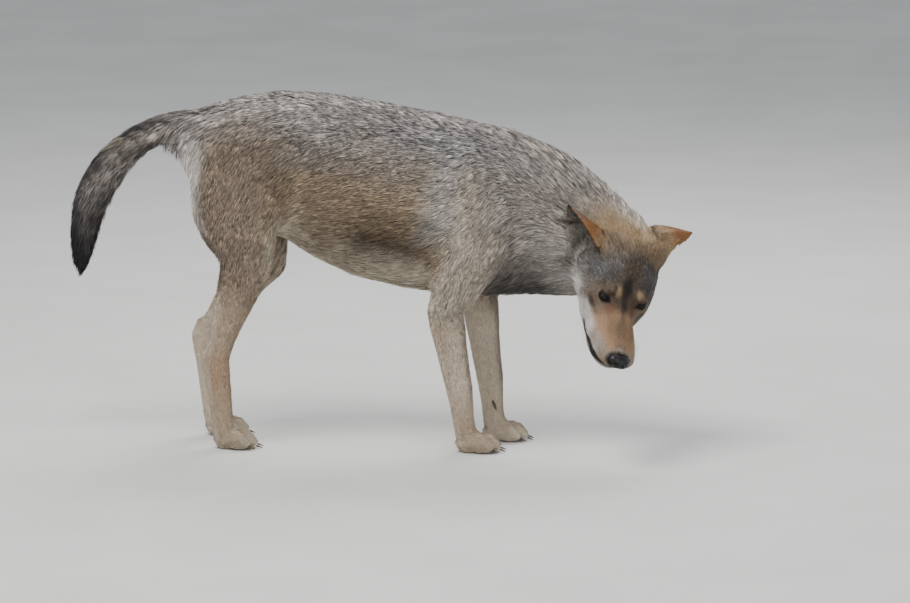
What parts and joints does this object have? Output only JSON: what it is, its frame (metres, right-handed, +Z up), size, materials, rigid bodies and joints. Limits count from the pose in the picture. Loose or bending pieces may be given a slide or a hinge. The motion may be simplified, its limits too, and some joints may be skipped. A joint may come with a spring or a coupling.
{
  "type": "grey wolf",
  "caption": "Life-size standing grey wolf in summer coat, head lowered and turned to its right, tail lifted in an arch.",
  "frame": {"origin": "on the ground, below the middle of the bounding box", "axes": "+X towards the front of the animal, along its trunk; +Y to its left; +Z up"},
  "size_m": [1.2798, 0.4116, 0.7324],
  "materials": {
    "coat": "thick grizzled fur, grey and tan with dark tips",
    "face_fur": "short fur, sandy on the crown and muzzle, dark grey over the brows, pale on the cheeks",
    "ear_fur": "short rust-brown fur with a dark rim",
    "leg_fur": "short cream and tan fur",
    "tail_fur": "long blue-black fur",
    "eye": "wet amber eye with a black pupil",
    "nose": "moist black nose pad, finely pebbled",
    "claw": "dark horn"
  },
  "bodies": {
    "root": {"ear_right": "ear_fur", "ear_left": "ear_fur", "eye_right": "eye", "eye_left": "eye", "nose_pad": "nose", "claw_fore_right_1": "claw", "claw_fore_right_2": "claw", "claw_fore_right_3": "claw", "claw_fore_right_4": "claw", "claw_fore_left_1": "claw", "claw_fore_left_2": "claw", "claw_fore_left_3": "claw", "claw_fore_left_4": "claw", "claw_hind_right_1": "claw", "claw_hind_right_2": "claw", "claw_hind_right_3": "claw", "claw_hind_right_4": "claw", "claw_hind_left_1": "claw", "claw_hind_left_2": "claw", "claw_hind_left_3": "claw", "claw_hind_left_4": "claw", "dewclaw_right": "claw", "dewclaw_left": "claw", "forepaw_right": "leg_fur", "forearm_right": "leg_fur", "shoulder_right": "coat", "hindpaw_right": "leg_fur", "metatarsus_right": "leg_fur", "shank_right": "coat", "thigh_right": "coat", "forepaw_left": "leg_fur", "forearm_left": "leg_fur", "shoulder_left": "coat", "hindpaw_left": "leg_fur", "metatarsus_left": "leg_fur", "shank_left": "coat", "thigh_left": "coat", "tail_end": "tail_fur", "tail_root": "coat", "lower_jaw": "leg_fur", "head": "face_fur", "neck": "coat", "chest": "coat", "belly": "coat", "rump": "coat"}
  },
  "joints": []
}
